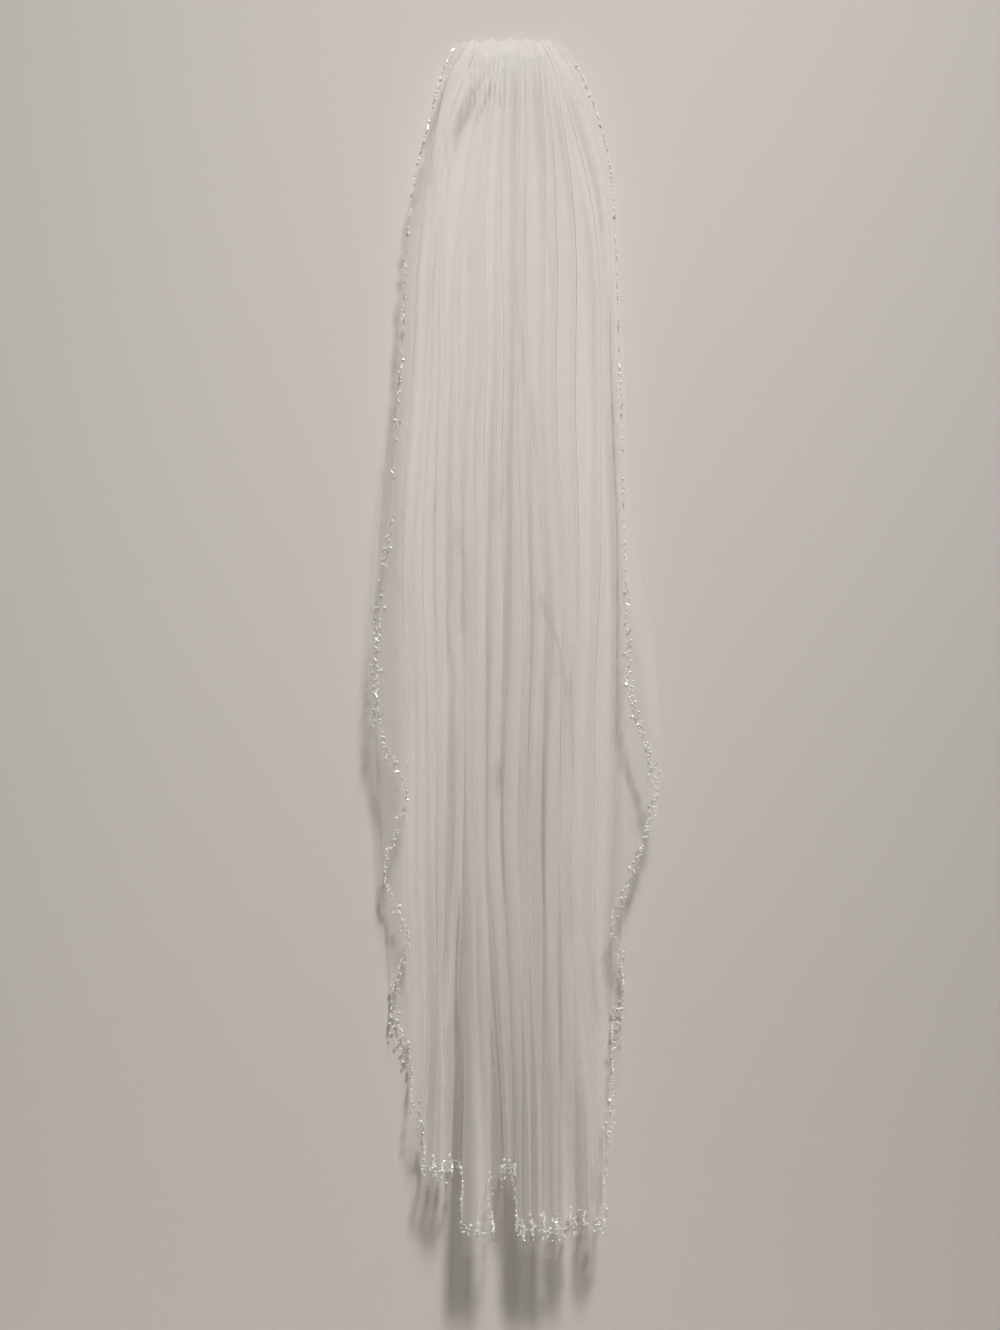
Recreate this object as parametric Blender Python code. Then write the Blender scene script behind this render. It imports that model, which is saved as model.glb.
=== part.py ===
# Bridal veil of soft tulle, gathered onto a comb and hung on a small wall hook.
#
# The wall is the plane y = 0 and the veil hangs in front of it, towards -Y.
# The origin is the middle of the hook plate's back face, where it meets the wall.
# Everything is in metres with Z up.

import math

import bmesh
import bpy
import numpy as np

# Cut of the tulle panel
CUT_LENGTH = 1.005          # gathered edge to hem, down the middle
SIDE_LEFT = 0.580           # straight side edge above the left oval corner
SIDE_RIGHT = 0.640          # the same on the right, which hangs a little lower
CORNER_LEFT = 0.300         # width of cloth that the left oval corner takes
CORNER_RIGHT = 0.170        # the same on the right, where more of it is tucked away
ROUNDNESS_LEFT = 2.5        # how round each corner is
ROUNDNESS_RIGHT = 2.2
CLOTH_WALL = 0.0010         # thickness of the solid cloth
SHARPEST_TURN = 0.7         # cosine past which the outside of a turn is cut short

# The folds on the left are caught up in the gathers, so their hem hangs higher. The lift
# grows and fades between places across the cloth, from the raw left edge.
LIFT = 0.045
LIFT_GROWS = (0.120, 0.200)
LIFT_FADES = (0.355, 0.405)

# Where the panel hangs
GATHER_TOP = 0.0100         # height of the gathered edge above the origin
REFERENCE_DROP = 0.700      # drop at which the width of cloth is measured
BOW_FADE = 0.050            # drop over which the cloth leaves the comb's curve

# Mesh of the panel
ARC_STEPS = 3               # straight runs round each half turn of the cloth
LAYER_STEPS = 2             # straight runs along each flat layer of a cascade
ROW_SHARES = (0.0, 0.014, 0.038, 0.080, 0.140, 0.220, 0.310, 0.400, 0.490, 0.580, 0.670, 0.760, 0.880, 1.0)

# Comb
COMB_TEETH = 16
TOOTH_PITCH = 0.0042
TOOTH_WIDTH = 0.0016
TOOTH_TIP_WIDTH = 0.0008
TOOTH_LENGTH = 0.0340
SPINE_HEIGHT = 0.0055
SPINE_OVERHANG = 0.0012     # spine beyond the outermost teeth
COMB_THICKNESS = 0.0024
COMB_BOW = 0.0020           # how far the comb's ends curve back towards the wall

# Wall hook
PLATE_WIDTH = 0.0160
PLATE_HEIGHT = 0.0180
PLATE_THICKNESS = 0.0025
PLATE_CORNER = 0.0030
PLATE_CORNER_STEPS = 5
PLATE_EDGE = 0.0006
PLATE_EDGE_STEPS = 2
PIN_RADIUS = 0.0010
PIN_SLOPE = math.radians(12.0)
PIN_ROOT_HEIGHT = -0.0020   # pin's axis where it leaves the wall
PIN_SIDES = 16

CLEARANCE = 0.0003          # gap between pieces that touch
SAME_PLANE = 1e-6           # how close points lie that share a face
CLOTH_SHARP = 60            # degrees past which an edge of the cloth is shaded sharp
HARD_SHARP = 30

# Colour, roughness and metallic of each finish
TULLE_FINISH = ((0.80, 0.78, 0.74), 0.85, 0.0)
PLASTIC_FINISH = ((0.86, 0.87, 0.86), 0.18, 0.0)
PAINT_FINISH = ((0.78, 0.78, 0.77), 0.35, 0.0)

# The section of the hanging cloth, a row for each height. Lengths are in millimetres:
# drop below the gathered edge, the outline and the dense body on each side of the middle,
# the turn of the right cascade that is tucked in beside the body, and how far the deepest
# and the foremost cloth stand from the wall.
SECTION_COLUMNS = (
    "drop", "outer_left", "body_left", "body_right", "tuck_right", "outer_right", "deep", "fore",
)
SECTIONS = (
    (0, -39, -30, 34, 41, 43, 5.5, 20),
    (18, -48, -39, 45, 52, 55, 5.7, 24),
    (51, -60, -50, 55, 62, 67, 5.5, 29),
    (105, -75, -64, 67, 75, 80, 4.5, 34),
    (176, -85, -73, 75, 84, 89, 3.6, 38),
    (259, -92, -76, 79, 88, 94, 3.2, 41),
    (342, -104, -80, 83, 91, 98, 3.2, 43),
    (400, -109, -81, 86, 94, 101, 3.2, 44),
    (466, -114, -82, 87, 95, 114, 3.2, 45),
    (549, -118, -82, 87, 96, 124, 3.2, 46),
    (612, -115, -83, 88, 97, 128, 3.2, 47),
    (674, -110, -84, 87, 97, 127, 3.2, 48),
    (736, -107, -82, 86, 96, 112, 3.2, 49),
    (798, -104, -80, 85, 96, 102, 3.2, 50),
    (836, -107, -80, 86, 97, 101, 3.2, 51),
    (881, -104, -81, 88, 96, 98, 3.2, 52),
    (940, -94, -82, 89, 95, 97, 3.2, 54),
    (1006, -90, -80, 89, 95, 97, 3.2, 56),
)

# The folds of the dense body from left to right. Middle and width of each front face and
# its reach forward are shares of the body's width and depth, at mid height and at the hem.
# The valley is the cloth's reach forward in the furrow to the right of the face.
FOLD_COLUMNS = (
    "middle", "middle_hem", "width", "width_hem", "reach", "reach_hem", "valley", "valley_hem",
)
FOLDS = (
    (0.038, 0.026, 0.040, 0.034, 0.66, 0.62, 0.10, 0.22),
    (0.097, 0.074, 0.032, 0.030, 0.80, 0.74, 0.24, 0.30),
    (0.146, 0.120, 0.030, 0.030, 0.74, 0.82, 0.08, 0.16),
    (0.191, 0.167, 0.032, 0.030, 0.88, 0.78, 0.00, 0.00),
    (0.299, 0.285, 0.044, 0.058, 0.96, 0.92, 0.26, 0.62),
    (0.362, 0.356, 0.034, 0.050, 0.84, 0.98, 0.10, 0.30),
    (0.416, 0.420, 0.032, 0.030, 0.92, 0.84, 0.02, 0.04),
    (0.490, 0.473, 0.042, 0.030, 0.86, 0.80, 0.14, 0.04),
    (0.544, 0.552, 0.030, 0.042, 0.96, 0.94, 0.30, 0.70),
    (0.598, 0.608, 0.034, 0.040, 0.92, 1.00, 0.22, 0.64),
    (0.657, 0.664, 0.042, 0.044, 1.00, 0.97, 0.02, 0.14),
    (0.765, 0.750, 0.046, 0.040, 0.92, 0.84, 0.14, 0.00),
    (0.824, 0.868, 0.034, 0.036, 0.80, 0.86, 0.30, 0.48),
    (0.898, 0.920, 0.042, 0.036, 0.86, 0.80, 0.16, 0.26),
    (0.965, 0.968, 0.034, 0.032, 0.66, 0.66, 0.00, 0.00),
)
FACE_OVERHANG = 0.008       # share by which each face overhangs its furrow
GATHER_WIDTH = 0.034        # width of each face at the comb, where the folds are even
GATHER_REACH = 0.85
GATHER_VALLEY = 0.04
SIDE_FALL = 0.42            # how much the front draws back towards both sides
SIDE_FALL_POWER = 2.6
MID_DROP = 0.300            # drop where the folds have left the even gathers
LOWER_DROP = 0.560          # drop where the mid height shares start to change
HEM_DROP = 1.000

# The cascades of loose cloth beside the body: flat layers that lie on each other, from the
# raw edge in front to the wall. Turn is where the layer turns back, 0 at the outline and
# 1 beside the body, and reach is the layer's own reach forward from the wall.
CASCADE_COLUMNS = ("turn", "reach")
LEFT_CASCADE = (
    (1.00, 0.80),
    (0.16, 0.60),
    (0.98, 0.41),
    (0.20, 0.22),
    (1.00, 0.03),
)
RIGHT_CASCADE = (
    (1.00, 0.64),
    (0.00, 0.34),
    (1.00, 0.03),
)
EDGE_CURL = 0.08            # how much further back the raw edge lies than its layer
TURN_GAP = 0.0019           # from an inner turn to the side of the body
TURN_SHARE = 0.35           # most of a layer's width that one turn takes


def smooth_column(rows, column, position):
    """Smooth curve through one column of a table, against its first column."""
    table = np.array(rows, float)
    xs = table[:, 0]
    ys = table[:, column]
    slopes = np.gradient(ys, xs)
    position = np.clip(position, xs[0], xs[-1])
    span = np.clip(np.searchsorted(xs, position, side="right") - 1, 0, len(xs) - 2)
    width = xs[span + 1] - xs[span]
    t = (position - xs[span]) / width
    start = (1 + 2 * t) * (1 - t) ** 2 * ys[span]
    start_slope = t * (1 - t) ** 2 * width * slopes[span]
    end = t * t * (3 - 2 * t) * ys[span + 1]
    end_slope = t * t * (t - 1) * width * slopes[span + 1]
    return start + start_slope + end + end_slope


def section_at(drop):
    """Every column of the section table at one drop in metres, lengths in metres."""
    millimetres = drop * 1000.0
    values = {}
    for column, name in enumerate(SECTION_COLUMNS):
        values[name] = float(smooth_column(SECTIONS, column, millimetres)) / 1000.0
    return values


def ease(value, start, end):
    """Smooth step from 0 at the start to 1 at the end."""
    share = min(1.0, max(0.0, (value - start) / (end - start)))
    return share * share * (3 - 2 * share)


def fold_at(index, drop):
    """One fold's shares at a drop: even at the comb, then its own places lower down."""
    row = dict(zip(FOLD_COLUMNS, FOLDS[index]))
    opened = ease(drop, 0.0, MID_DROP)
    lowered = ease(drop, LOWER_DROP, HEM_DROP)
    gathered = {
        "middle": (index + 0.5) / len(FOLDS),
        "width": GATHER_WIDTH,
        "reach": GATHER_REACH,
        "valley": GATHER_VALLEY,
    }
    values = {}
    for name, even in gathered.items():
        own = row[name] * (1 - lowered) + row[name + "_hem"] * lowered
        values[name] = even * (1 - opened) + own * opened
    return values


def arc(x, y, radius, start, end, flattened=1.0):
    """Points round a bend of the section, angles in degrees from +X towards +Y."""
    points = []
    for step in range(ARC_STEPS + 1):
        angle = math.radians(start + (end - start) * step / ARC_STEPS)
        points.append((x + radius * flattened * math.cos(angle), y + radius * math.sin(angle)))
    return points


def cascade(rows, outline, tuck, body, corner, forward):
    """Points of one cascade, from the raw edge in front to the bend up into the body.

    Works for cloth on the left. Inner turns stop short of the body, and outer turns
    lie between the tuck and the body.
    """
    points = []
    inner = body - TURN_GAP
    x = outline
    layers = [dict(zip(CASCADE_COLUMNS, row)) for row in rows]
    for index, layer in enumerate(layers):
        turn = layer["turn"]
        reach = layer["reach"]
        last = index == len(layers) - 1
        going_in = index % 2 == 0
        reference = outline if going_in else tuck
        extreme = reference + (inner - reference) * turn
        y = forward(extreme, reach)
        if last:
            end = body - corner
            y = forward(end, reach)
        else:
            radius = (forward(extreme, layers[index + 1]["reach"]) - y) / 2
            flattened = min(1.0, TURN_SHARE * (inner - reference) / radius)
            turn_depth = radius * flattened
            end = extreme - turn_depth if going_in else extreme + turn_depth
        if index == 0:
            points.append((x, forward(extreme, reach - EDGE_CURL)))
            x += (end - x) / (2 * LAYER_STEPS)
            points.append((x, y))
        for step in range(1, LAYER_STEPS):
            points.append((x + (end - x) * step / LAYER_STEPS, y))
        if last:
            points += arc(end, y - corner, corner, 90, 0)
        elif going_in:
            points += arc(end, y + radius, radius, -90, 90, flattened)
        else:
            points += arc(end, y + radius, radius, 270, 90, flattened)
        x = end
    return points


def section_points(drop):
    """Points (x, y) of the cloth's section at one drop, from raw edge to raw edge."""
    section = section_at(drop)
    body_left = section["body_left"]
    body_width = section["body_right"] - body_left
    depth = section["fore"] - section["deep"]
    half = max(section["outer_right"], -section["outer_left"])
    drawn = SIDE_FALL * ease(drop, 0.0, MID_DROP)

    def forward(x, reach):
        """Place in Y of cloth that reaches so far forward at x."""
        fall = 1.0 - drawn * min(1.0, abs(x) / half) ** SIDE_FALL_POWER
        return -(section["deep"] + depth * reach * fall)

    folds = [fold_at(index, drop) for index in range(len(FOLDS))]
    overhang = FACE_OVERHANG * body_width * ease(drop, 0.0, MID_DROP)
    spans = []
    for fold in folds:
        middle = body_left + body_width * fold["middle"]
        half_width = (body_width * fold["width"] + overhang) / 2
        spans.append((middle - half_width, middle + half_width))

    corner = (spans[0][1] - spans[0][0]) / 2
    points = cascade(
        LEFT_CASCADE, section["outer_left"], section["outer_left"], spans[0][0], corner, forward
    )
    for index, fold in enumerate(folds):
        left, right = spans[index]
        radius = (right - left) / 2
        crest = forward(left + radius, fold["reach"])
        points += arc(left + radius, crest + radius, radius, 180, 360)
        if index == len(folds) - 1:
            continue
        left = right - overhang
        right = spans[index + 1][0] + overhang
        radius = (right - left) / 2
        furrow = forward(left + radius, fold["valley"])
        points += arc(left + radius, furrow - radius, radius, 180, 0)
    mirrored = cascade(
        RIGHT_CASCADE,
        -section["outer_right"],
        -section["tuck_right"],
        -spans[-1][1],
        (spans[-1][1] - spans[-1][0]) / 2,
        lambda x, reach: forward(-x, reach),
    )
    points += [(-x, y) for x, y in reversed(mirrored)]
    return np.array(points)


def cut_length(distance, side_length, corner_width, roundness):
    """Length of the cut cloth at a distance in from the raw side edge."""
    inside = np.clip(1.0 - distance / corner_width, 0.0, 1.0)
    return CUT_LENGTH - (CUT_LENGTH - side_length) * inside ** roundness


def lift_at(distance):
    """How far the cloth is caught up at a distance across from the raw left edge."""
    return LIFT * ease(distance, *LIFT_GROWS) * (1 - ease(distance, *LIFT_FADES))


def comb_bow(x):
    """How far the comb and the cloth on it curve back towards the wall at x."""
    return COMB_BOW * (x / comb_half_width()) ** 2


def comb_back():
    """Place in Y of the back of the comb's middle, just clear of the plate."""
    return -(PLATE_THICKNESS + CLEARANCE + comb_bow(PLATE_WIDTH / 2))


def comb_half_width():
    return ((COMB_TEETH - 1) * TOOTH_PITCH + TOOTH_WIDTH) / 2 + SPINE_OVERHANG


def veil_surface():
    """Middle surface of the hanging cloth as rows of points, gathered edge to hem."""
    reference = section_points(REFERENCE_DROP)
    steps = np.linalg.norm(np.diff(reference, axis=0), axis=1)
    across = np.concatenate(([0.0], np.cumsum(steps)))
    from_left = cut_length(across, SIDE_LEFT, CORNER_LEFT, ROUNDNESS_LEFT)
    from_right = cut_length(across[-1] - across, SIDE_RIGHT, CORNER_RIGHT, ROUNDNESS_RIGHT)
    lifts = np.array([lift_at(distance) for distance in across])
    lengths = np.minimum(from_left, from_right) - lifts

    surface = np.zeros((len(ROW_SHARES), len(reference), 3))
    for row, share in enumerate(ROW_SHARES):
        for column, length in enumerate(lengths):
            drop = length * share
            x, y = section_points(drop)[column]
            fade = math.exp(-((drop / BOW_FADE) ** 2))
            bow = comb_bow(min(abs(x), comb_half_width())) * fade
            surface[row, column] = (x, y + bow, GATHER_TOP - drop)
    return surface


def unit(vectors):
    return vectors / np.linalg.norm(vectors, axis=-1, keepdims=True)


def offset_directions(surface):
    """Directions that move the grid off the cloth by an even thickness."""
    runs = unit(np.diff(surface, axis=1))
    before = np.concatenate((runs[:, :1], runs), axis=1)
    after = np.concatenate((runs, runs[:, -1:]), axis=1)
    along = unit(before + after)
    down = np.gradient(surface, axis=0)
    normals = unit(np.cross(along, down))
    half_turn = np.sum(along * after, axis=2, keepdims=True)
    return normals / np.maximum(half_turn, SHARPEST_TURN)


def cloth_solid(surface, thickness):
    """Closed wall of even thickness round a grid of points."""
    directions = offset_directions(surface)
    rows, columns = surface.shape[:2]
    mesh = bmesh.new()
    sides = []
    for offset in (0.5, -0.5):
        points = surface + directions * thickness * offset
        sides.append([[mesh.verts.new(points[r, c]) for c in range(columns)] for r in range(rows)])
    outer, inner = sides
    for r in range(rows - 1):
        for c in range(columns - 1):
            mesh.faces.new((outer[r][c], outer[r][c + 1], outer[r + 1][c + 1], outer[r + 1][c]))
            mesh.faces.new((inner[r][c], inner[r + 1][c], inner[r + 1][c + 1], inner[r][c + 1]))
    for c in range(columns - 1):
        for r in (0, rows - 1):
            mesh.faces.new((outer[r][c], inner[r][c], inner[r][c + 1], outer[r][c + 1]))
    for r in range(rows - 1):
        for c in (0, columns - 1):
            mesh.faces.new((outer[r][c], outer[r + 1][c], inner[r + 1][c], inner[r][c]))
    bmesh.ops.triangulate(mesh, faces=mesh.faces[:])
    bmesh.ops.recalc_face_normals(mesh, faces=mesh.faces[:])
    return mesh


def add_object(name, mesh, material, sharp_angle):
    """Object at the origin from a bmesh, with its own material, shaded smooth."""
    data = bpy.data.meshes.new(name)
    mesh.to_mesh(data)
    mesh.free()
    data.materials.append(material)
    data.shade_smooth()
    data.set_sharp_from_angle(angle=math.radians(sharp_angle))
    item = bpy.data.objects.new(name, data)
    bpy.context.scene.collection.objects.link(item)
    return item


def principled(name, finish):
    """Material with one Principled BSDF."""
    colour, roughness, metallic = finish
    material = bpy.data.materials.new(name)
    material.use_nodes = True
    shader = material.node_tree.nodes["Principled BSDF"]
    shader.inputs["Base Color"].default_value = (*colour, 1.0)
    shader.inputs["Roughness"].default_value = roughness
    shader.inputs["Metallic"].default_value = metallic
    material.diffuse_color = (*colour, 1.0)
    return material


def build_tulle_panel():
    ivory = principled("ivory_tulle", TULLE_FINISH)
    return add_object("tulle_panel", cloth_solid(veil_surface(), CLOTH_WALL), ivory, CLOTH_SHARP)


def spine_underside():
    """Height of the spine's lower edge, resting on the sloping pin."""
    front = COMB_THICKNESS - comb_back()
    pin_top = PIN_ROOT_HEIGHT + front * math.tan(PIN_SLOPE) + PIN_RADIUS / math.cos(PIN_SLOPE)
    return pin_top + CLEARANCE


def tooth_middle(tooth):
    return (tooth - (COMB_TEETH - 1) / 2) * TOOTH_PITCH


def build_comb():
    """Bowed comb: a spine of short cells with a tapered tooth under every other one."""
    clear = principled("clear_plastic", PLASTIC_FINISH)
    half = comb_half_width()
    bottom = spine_underside()
    top = bottom + SPINE_HEIGHT
    corner = SPINE_OVERHANG
    back = comb_back()

    mesh = bmesh.new()
    stations = [(-half, top - corner)]
    for tooth in range(COMB_TEETH):
        stations.append((tooth_middle(tooth) - TOOTH_WIDTH / 2, top))
        stations.append((tooth_middle(tooth) + TOOTH_WIDTH / 2, top))
    stations.append((half, top - corner))
    upper = [mesh.verts.new((x, back, z)) for x, z in stations]
    lower = [mesh.verts.new((x, back, bottom)) for x, z in stations]
    for index in range(len(stations) - 1):
        mesh.faces.new((lower[index], lower[index + 1], upper[index + 1], upper[index]))
    for tooth in range(COMB_TEETH):
        root = (lower[2 * tooth + 1], lower[2 * tooth + 2])
        tips = []
        for side in (0.5, -0.5):
            x = tooth_middle(tooth) + side * TOOTH_TIP_WIDTH
            tips.append(mesh.verts.new((x, back, bottom - TOOTH_LENGTH)))
        mesh.faces.new((root[1], root[0], tips[1], tips[0]))

    grown = bmesh.ops.extrude_face_region(mesh, geom=mesh.faces[:])
    front = [item for item in grown["geom"] if isinstance(item, bmesh.types.BMVert)]
    bmesh.ops.translate(mesh, vec=(0.0, -COMB_THICKNESS, 0.0), verts=front)
    for vert in mesh.verts:
        vert.co.y += comb_bow(vert.co.x)
    bmesh.ops.triangulate(mesh, faces=mesh.faces[:])
    bmesh.ops.recalc_face_normals(mesh, faces=mesh.faces[:])
    return add_object("veil_comb", mesh, clear, HARD_SHARP)


def build_hook():
    """Plate with rounded corners and one pin, joined into one body."""
    paint = principled("white_paint", PAINT_FINISH)
    mesh = bmesh.new()
    bmesh.ops.create_cube(mesh, size=1.0)
    bmesh.ops.scale(mesh, vec=(PLATE_WIDTH, PLATE_THICKNESS, PLATE_HEIGHT), verts=mesh.verts)
    bmesh.ops.translate(mesh, vec=(0.0, -PLATE_THICKNESS / 2, 0.0), verts=mesh.verts)
    upright = [e for e in mesh.edges if abs(e.verts[0].co.y - e.verts[1].co.y) > PLATE_THICKNESS / 2]
    bmesh.ops.bevel(
        mesh, geom=upright, offset=PLATE_CORNER, segments=PLATE_CORNER_STEPS, profile=0.5, affect="EDGES"
    )
    front = -PLATE_THICKNESS
    rim = [e for e in mesh.edges if all(abs(v.co.y - front) < SAME_PLANE for v in e.verts)]
    bmesh.ops.bevel(
        mesh, geom=rim, offset=PLATE_EDGE, segments=PLATE_EDGE_STEPS, profile=0.5, affect="EDGES"
    )
    hook = add_object("wall_hook", mesh, paint, HARD_SHARP)

    start = -PLATE_THICKNESS / 2
    end = comb_back() - COMB_THICKNESS
    length = (start - end) / math.cos(PIN_SLOPE)
    middle = (start + end) / 2
    pin_mesh = bmesh.new()
    bmesh.ops.create_cone(
        pin_mesh, cap_ends=True, segments=PIN_SIDES, radius1=PIN_RADIUS, radius2=PIN_RADIUS, depth=length
    )
    pin = add_object("pin", pin_mesh, paint, HARD_SHARP)
    pin.rotation_euler = (math.pi / 2 - PIN_SLOPE, 0.0, 0.0)
    pin.location = (0.0, middle, PIN_ROOT_HEIGHT - middle * math.tan(PIN_SLOPE))
    pin.hide_render = True
    pin.display_type = "WIRE"

    union = hook.modifiers.new("pin", "BOOLEAN")
    union.operation = "UNION"
    union.object = pin
    return hook


def clear_scene():
    for item in list(bpy.data.objects):
        bpy.data.objects.remove(item, do_unlink=True)


clear_scene()
build_tulle_panel()
build_comb()
build_hook()
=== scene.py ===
# Bridal veil: ivory tulle gathered onto a comb, beaded round its edge, hung on a small wall hook.
# The wall is y = 0 and the veil hangs in front of it, towards -Y. Metres, Z up.

import math

import bpy
import numpy as np
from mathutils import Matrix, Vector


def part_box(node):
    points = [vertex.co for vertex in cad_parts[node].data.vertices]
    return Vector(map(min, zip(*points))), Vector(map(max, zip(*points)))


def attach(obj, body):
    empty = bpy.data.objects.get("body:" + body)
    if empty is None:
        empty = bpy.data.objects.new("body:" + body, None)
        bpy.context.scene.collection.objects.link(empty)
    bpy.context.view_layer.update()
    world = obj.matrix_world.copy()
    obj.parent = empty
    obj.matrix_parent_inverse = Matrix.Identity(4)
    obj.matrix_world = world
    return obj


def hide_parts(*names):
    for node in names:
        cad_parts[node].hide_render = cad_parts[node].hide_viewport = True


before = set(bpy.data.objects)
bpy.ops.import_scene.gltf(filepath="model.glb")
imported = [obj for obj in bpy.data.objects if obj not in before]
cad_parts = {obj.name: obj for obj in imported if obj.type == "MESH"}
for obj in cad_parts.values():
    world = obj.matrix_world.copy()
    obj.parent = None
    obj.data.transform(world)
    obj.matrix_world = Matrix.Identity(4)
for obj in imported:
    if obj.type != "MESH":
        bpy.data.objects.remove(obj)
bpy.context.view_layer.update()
scene = bpy.context.scene

# the hanging tulle
veil = {
    "cutLength": 1.005,       # gathered edge to hem, down the middle
    "sideLeft": 0.580,        # straight side edges above the oval corners
    "sideRight": 0.640,
    "cornerLeft": 0.300,      # cloth that each corner takes
    "cornerRight": 0.170,
    "roundLeft": 2.5,
    "roundRight": 2.2,
    "lift": 0.045,            # left folds caught up in the gathers, with a shorter hem
    "liftGrows": (0.150, 0.260),
    "liftFades": (0.355, 0.405),
    "notch": 0.044,           # a fold right of the middle is set back and caught up too
    "notchGrows": (0.508, 0.536),
    "notchFades": (0.588, 0.612),
    "gatherTop": 0.010,
    "referenceDrop": 0.700,   # where the width of cloth is measured
    "bow": 0.002,             # the comb's curve back to the wall
    "bowFade": 0.050,
    "faceOverhang": 0.008,
    "sideFall": 0.42,
    "sideFallPower": 2.6,
    "midDrop": 0.300,
    "lowerDrop": 0.560,
    "hemDrop": 1.000,
    "edgeCurl": 0.08,         # the raw edge lies this much further back,
    "curlRate": 3.2,          # within one part in 3.2 of its layer
    "turnGap": 0.0019,
    "turnShare": 0.35,
    "arcSteps": 6,            # finer than the solid from here on
    "faceFlat": 0.34,         # soft folds are flatter than a half round
    "faceWiden": 1.34,        # and leave only slits between them
    "openSlit": 0.0011,       # least gap between two faces where the furrow is open
    "shutSlit": 0.00012,      # and where it has closed
    "shutFlat": 0.07,
    "hemWave": 0.0035,        # the hem isn't cut quite straight
    "hemWaves": ((0.21, 0), (0.083, 1)),
    "hemShort": 0.6,          # how much the shorter wave counts
    "hemGrows": (0.10, 0.16),
    "legFullness": 0.20,      # the sides of a fold look thinner than its face
    "faceFullness": 1.6,
    "turnedTop": (0.02, 0.26),    # how square a face lies before it looks full, near the comb
    "turnedLow": (0.15, 0.75),    # and at the hem
    "turnedFades": (0.45, 0.95),
    "marginFullness": 0.26,   # the raw margin under the beads looks thin too
    "marginFades": (0.014, 0.030),
    "bunching": 0.6,
    "topFullness": 1.9,       # the gathers hide the comb
    "topFades": (0.014, 0.080),
    "cascadeLeft": 0.135,     # cloth in the loose layers beside the body
    "cascadeRight": 0.075,
    "looseFades": (0.02, 0.01),
    "looseFullness": 0.7,
    "sheerTop": 0.62,         # how much thinner those layers look near the comb
    "sheerFades": (0.12, 0.42),
    "evenLight": 0.95,        # net scatters light, so its slope hardly changes its shade
    "turnsOver": 0.35,
    "tipsUp": 0.12,
    "legSteps": 10,
    "layerSteps": 12,
    "levels": 180,
    "rows": 116,
    "rowPower": 1.2,          # rows lie closer together near the comb
}

# millimetres: drop, outline and dense body left and right, tucked turn, depth at back and front
sectionNames = (
    "drop", "outerLeft", "bodyLeft", "bodyRight", "tuckRight", "outerRight", "deep", "fore",
)
sections = (
    (0, -39, -30, 34, 41, 43, 5.5, 20),
    (18, -48, -39, 45, 52, 55, 5.7, 24),
    (51, -60, -50, 55, 62, 67, 5.5, 29),
    (105, -75, -64, 67, 75, 80, 4.5, 34),
    (176, -85, -73, 75, 84, 89, 3.6, 38),
    (259, -92, -76, 79, 88, 94, 3.2, 41),
    (342, -104, -80, 83, 91, 98, 3.2, 43),
    (400, -109, -81, 86, 94, 101, 3.2, 44),
    (466, -114, -82, 87, 95, 114, 3.2, 45),
    (549, -118, -82, 87, 96, 124, 3.2, 46),
    (612, -115, -83, 88, 97, 128, 3.2, 47),
    (674, -110, -84, 87, 97, 127, 3.2, 48),
    (736, -107, -82, 86, 96, 112, 3.2, 49),
    (798, -104, -80, 85, 96, 102, 3.2, 50),
    (836, -107, -80, 86, 97, 101, 3.2, 51),
    (881, -104, -81, 88, 96, 98, 3.2, 52),
    (940, -94, -82, 89, 95, 97, 3.2, 54),
    (1006, -90, -80, 89, 95, 97, 3.2, 56),
)

# thousandths of the body's width and depth, at the comb, at mid height and at the hem
foldNames = (
    "middleTop", "middle", "middleHem", "widthTop", "width", "widthHem",
    "reachTop", "reach", "reachHem", "valleyTop", "valley", "valleyHem", "shutHem",
)
folds = (
    (30, 38, 26, 46, 40, 34, 800, 660, 620, 120, 100, 220, 300),
    (96, 97, 74, 34, 32, 30, 860, 800, 740, 200, 240, 300, 600),
    (136, 146, 120, 22, 30, 30, 840, 740, 820, 100, 80, 160, 200),
    (214, 191, 167, 56, 32, 30, 880, 880, 780, 140, 0, 0, 0),
    (306, 299, 285, 44, 44, 58, 880, 920, 920, 200, 260, 400, 1000),
    (350, 358, 356, 22, 24, 56, 900, 840, 920, 100, 100, 0, 0),
    (412, 408, 476, 44, 34, 28, 880, 900, 700, 100, 20, 200, 1000),
    (514, 502, 514, 62, 56, 28, 900, 860, 720, 200, 140, 40, 300),
    (562, 543, 556, 24, 22, 36, 880, 920, 940, 160, 300, 400, 1000),
    (616, 584, 606, 40, 26, 40, 900, 920, 950, 200, 220, 400, 1000),
    (722, 668, 666, 70, 62, 50, 900, 940, 940, 100, 20, 100, 350),
    (774, 765, 762, 24, 38, 44, 880, 920, 840, 160, 140, 0, 0),
    (850, 820, 880, 52, 28, 38, 860, 800, 860, 200, 300, 400, 900),
    (898, 898, 928, 26, 52, 34, 860, 860, 820, 120, 160, 260, 600),
    (966, 965, 972, 40, 34, 30, 800, 660, 660, 0, 0, 0, 0),
)
# furrows close up and open again on the way down, each at its own pace
closing = {
    "seed": 11, "waves": (0.24, 0.60), "shuts": (-0.2, 0.7),
    "top": 1.3, "low": 1.15, "lowers": (0.10, 0.60), "fades": (0.62, 0.94),
}
closeDraw = np.random.default_rng(closing["seed"])
closeWaves = closeDraw.uniform(*closing["waves"], len(folds))
closeStarts = closeDraw.uniform(0, 1, len(folds))

# loose layers, foremost first: where each turns back, from outline to body, and its reach forward
leftCascade = ((1.00, 0.80), (0.16, 0.60), (0.98, 0.41), (0.20, 0.22), (1.00, 0.03))
rightCascade = ((1.00, 0.64), (0.00, 0.34), (1.00, 0.03))

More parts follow.
